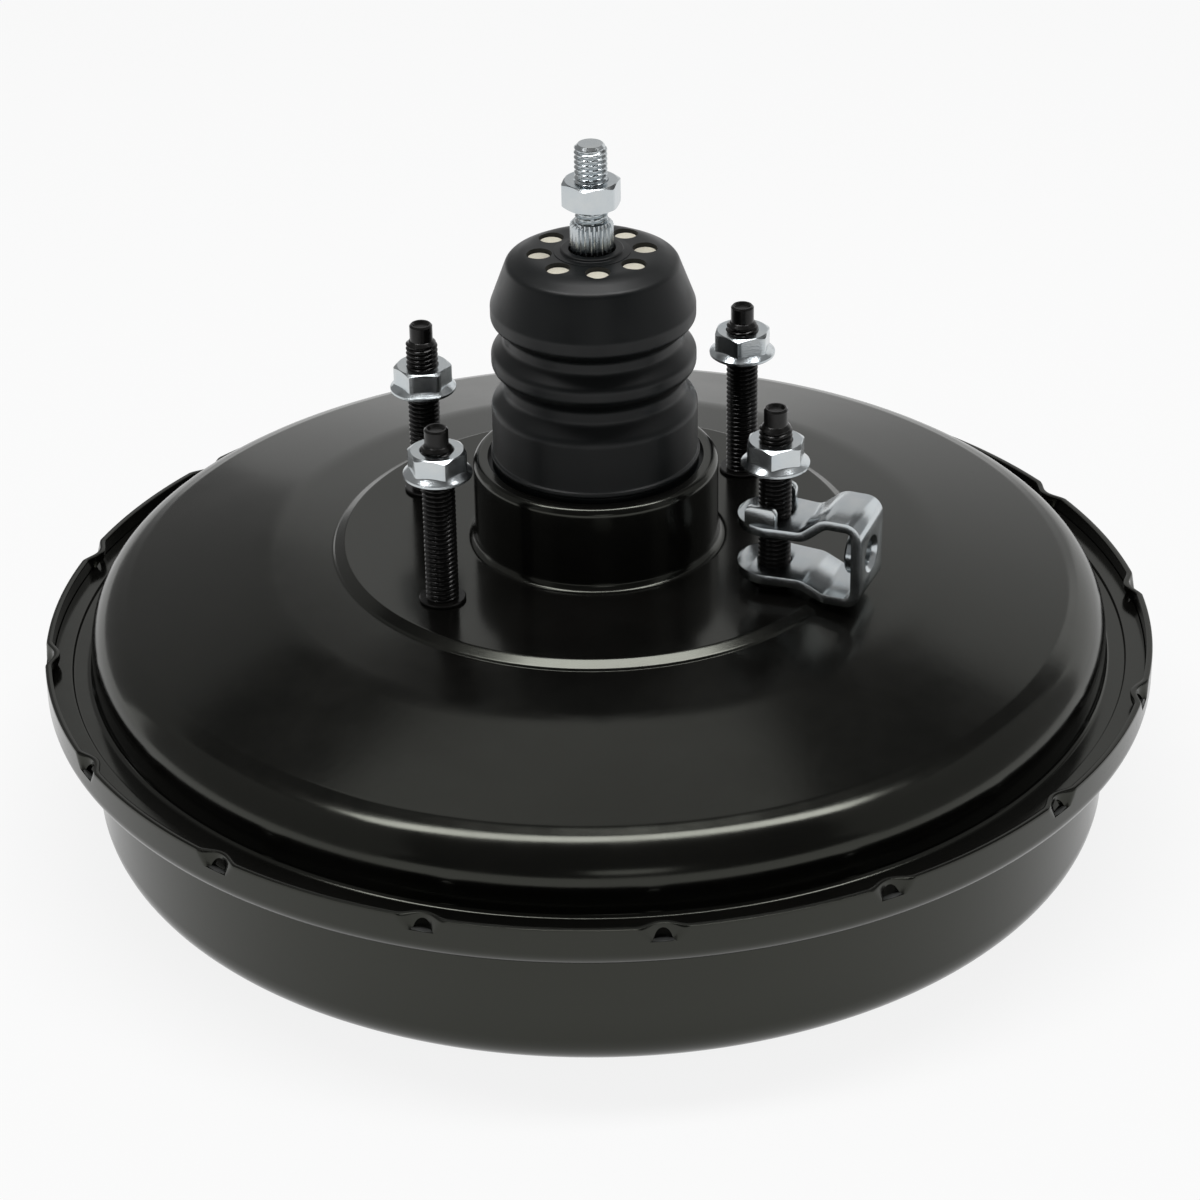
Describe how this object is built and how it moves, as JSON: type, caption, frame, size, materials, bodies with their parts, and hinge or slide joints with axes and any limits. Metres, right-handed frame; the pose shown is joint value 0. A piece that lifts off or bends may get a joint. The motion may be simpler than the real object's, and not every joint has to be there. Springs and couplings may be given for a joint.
{
  "type": "vacuum brake booster",
  "caption": "Round pressed-steel vacuum brake booster with firewall studs, rubber boot, threaded pedal rod and a loose rod clevis.",
  "frame": {"origin": "on the booster's axis, in the plane of the front shell's outer face that it stands on", "axes": "+Z along the axis towards the pedal rod; X along the wide spacing of the firewall studs, Y along the narrow one"},
  "size_m": [0.278, 0.278, 0.1756],
  "materials": {
    "shell_paint": "gloss",
    "zinc": "satin",
    "black_oxide": "satin",
    "steel": "satin",
    "spring_steel": "satin",
    "boot_rubber": "satin",
    "seal_rubber": "matte",
    "phenolic": "matte",
    "nylon": "matte",
    "felt": "matte",
    "foam": "matte",
    "aluminium": "satin"
  },
  "bodies": {
    "housing": {"front_shell": "shell_paint", "rear_shell": "shell_paint", "front_reinforcement": "steel", "rear_reinforcement": "steel", "firewall_studs": "black_oxide", "firewall_nuts": "zinc", "master_cylinder_studs": "zinc", "front_seal": "seal_rubber", "front_seal_retainer": "steel", "vacuum_grommet": "seal_rubber", "rear_seal": "seal_rubber", "rear_bearing": "nylon", "boot": "boot_rubber", "diaphragm": "seal_rubber", "return_spring": "spring_steel"},
    "power_piston": {"diaphragm_plate": "steel", "diaphragm_retainer": "spring_steel", "valve_body": "phenolic", "reaction_disc": "seal_rubber", "output_rod": "zinc", "stop_key": "steel", "poppet_valve": "seal_rubber", "poppet_retainer": "nylon", "poppet_spring": "spring_steel", "rod_return_spring": "spring_steel", "air_silencer": "foam", "air_filter": "felt"},
    "air_valve": {"control_plunger": "aluminium"},
    "pedal_rod": {"input_rod": "zinc", "rod_spring_washer": "steel", "lock_nut": "zinc"},
    "rod_clevis": {"clevis": "zinc"}
  },
  "joints": [
    {"name": "piston_slide", "type": "slide", "parent": "housing", "child": "power_piston", "axis": [0, 0, -1], "range_m": [0, 0.03], "stiffness_N_per_m": 3000, "springref_m": -0.03, "deforming": ["boot", "return_spring", "diaphragm"]},
    {"name": "air_valve_slide", "type": "slide", "parent": "power_piston", "child": "air_valve", "axis": [0, 0, -1], "range_m": [0, 0.0018], "stiffness_N_per_m": 4000, "springref_m": -0.004, "deforming": ["rod_return_spring"]},
    {"name": "pedal_rod_tilt", "type": "hinge", "parent": "air_valve", "child": "pedal_rod", "pos_m": [0, 0, 0.082], "axis": [1, 0, 0], "range_deg": [-3, 3], "stiffness_Nm_per_rad": 0.5},
    {"name": "clevis_swivel", "type": "hinge", "parent": "housing", "child": "rod_clevis", "pos_m": [0.0405, -0.029, 0.0817], "axis": [0, 0, 1], "range_deg": [-125, 110]}
  ]
}
